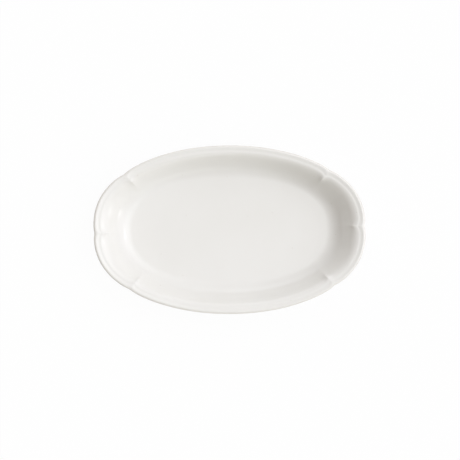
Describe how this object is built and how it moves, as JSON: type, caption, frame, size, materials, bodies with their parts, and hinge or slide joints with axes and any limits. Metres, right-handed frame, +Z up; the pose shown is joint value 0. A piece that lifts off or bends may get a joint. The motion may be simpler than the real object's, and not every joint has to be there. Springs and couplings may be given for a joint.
{
  "type": "oval plate",
  "caption": "Oval glazed ceramic plate with a lobed, notched rim edged by a groove and a raised bead, a sloping wall, a flat well and a bare foot ring.",
  "frame": {"origin": "middle of the plane that the foot rests on, below the middle of the well", "axes": "+X along the plate's length, +Y across it, +Z up out of the well"},
  "size_m": [0.3002, 0.186, 0.0315],
  "materials": {
    "bare_ceramic": "matte",
    "white_glaze": "polished"
  },
  "bodies": {
    "root": {"ceramic_body": "bare_ceramic", "glaze_coat": "white_glaze", "base_glaze": "white_glaze"}
  },
  "joints": []
}
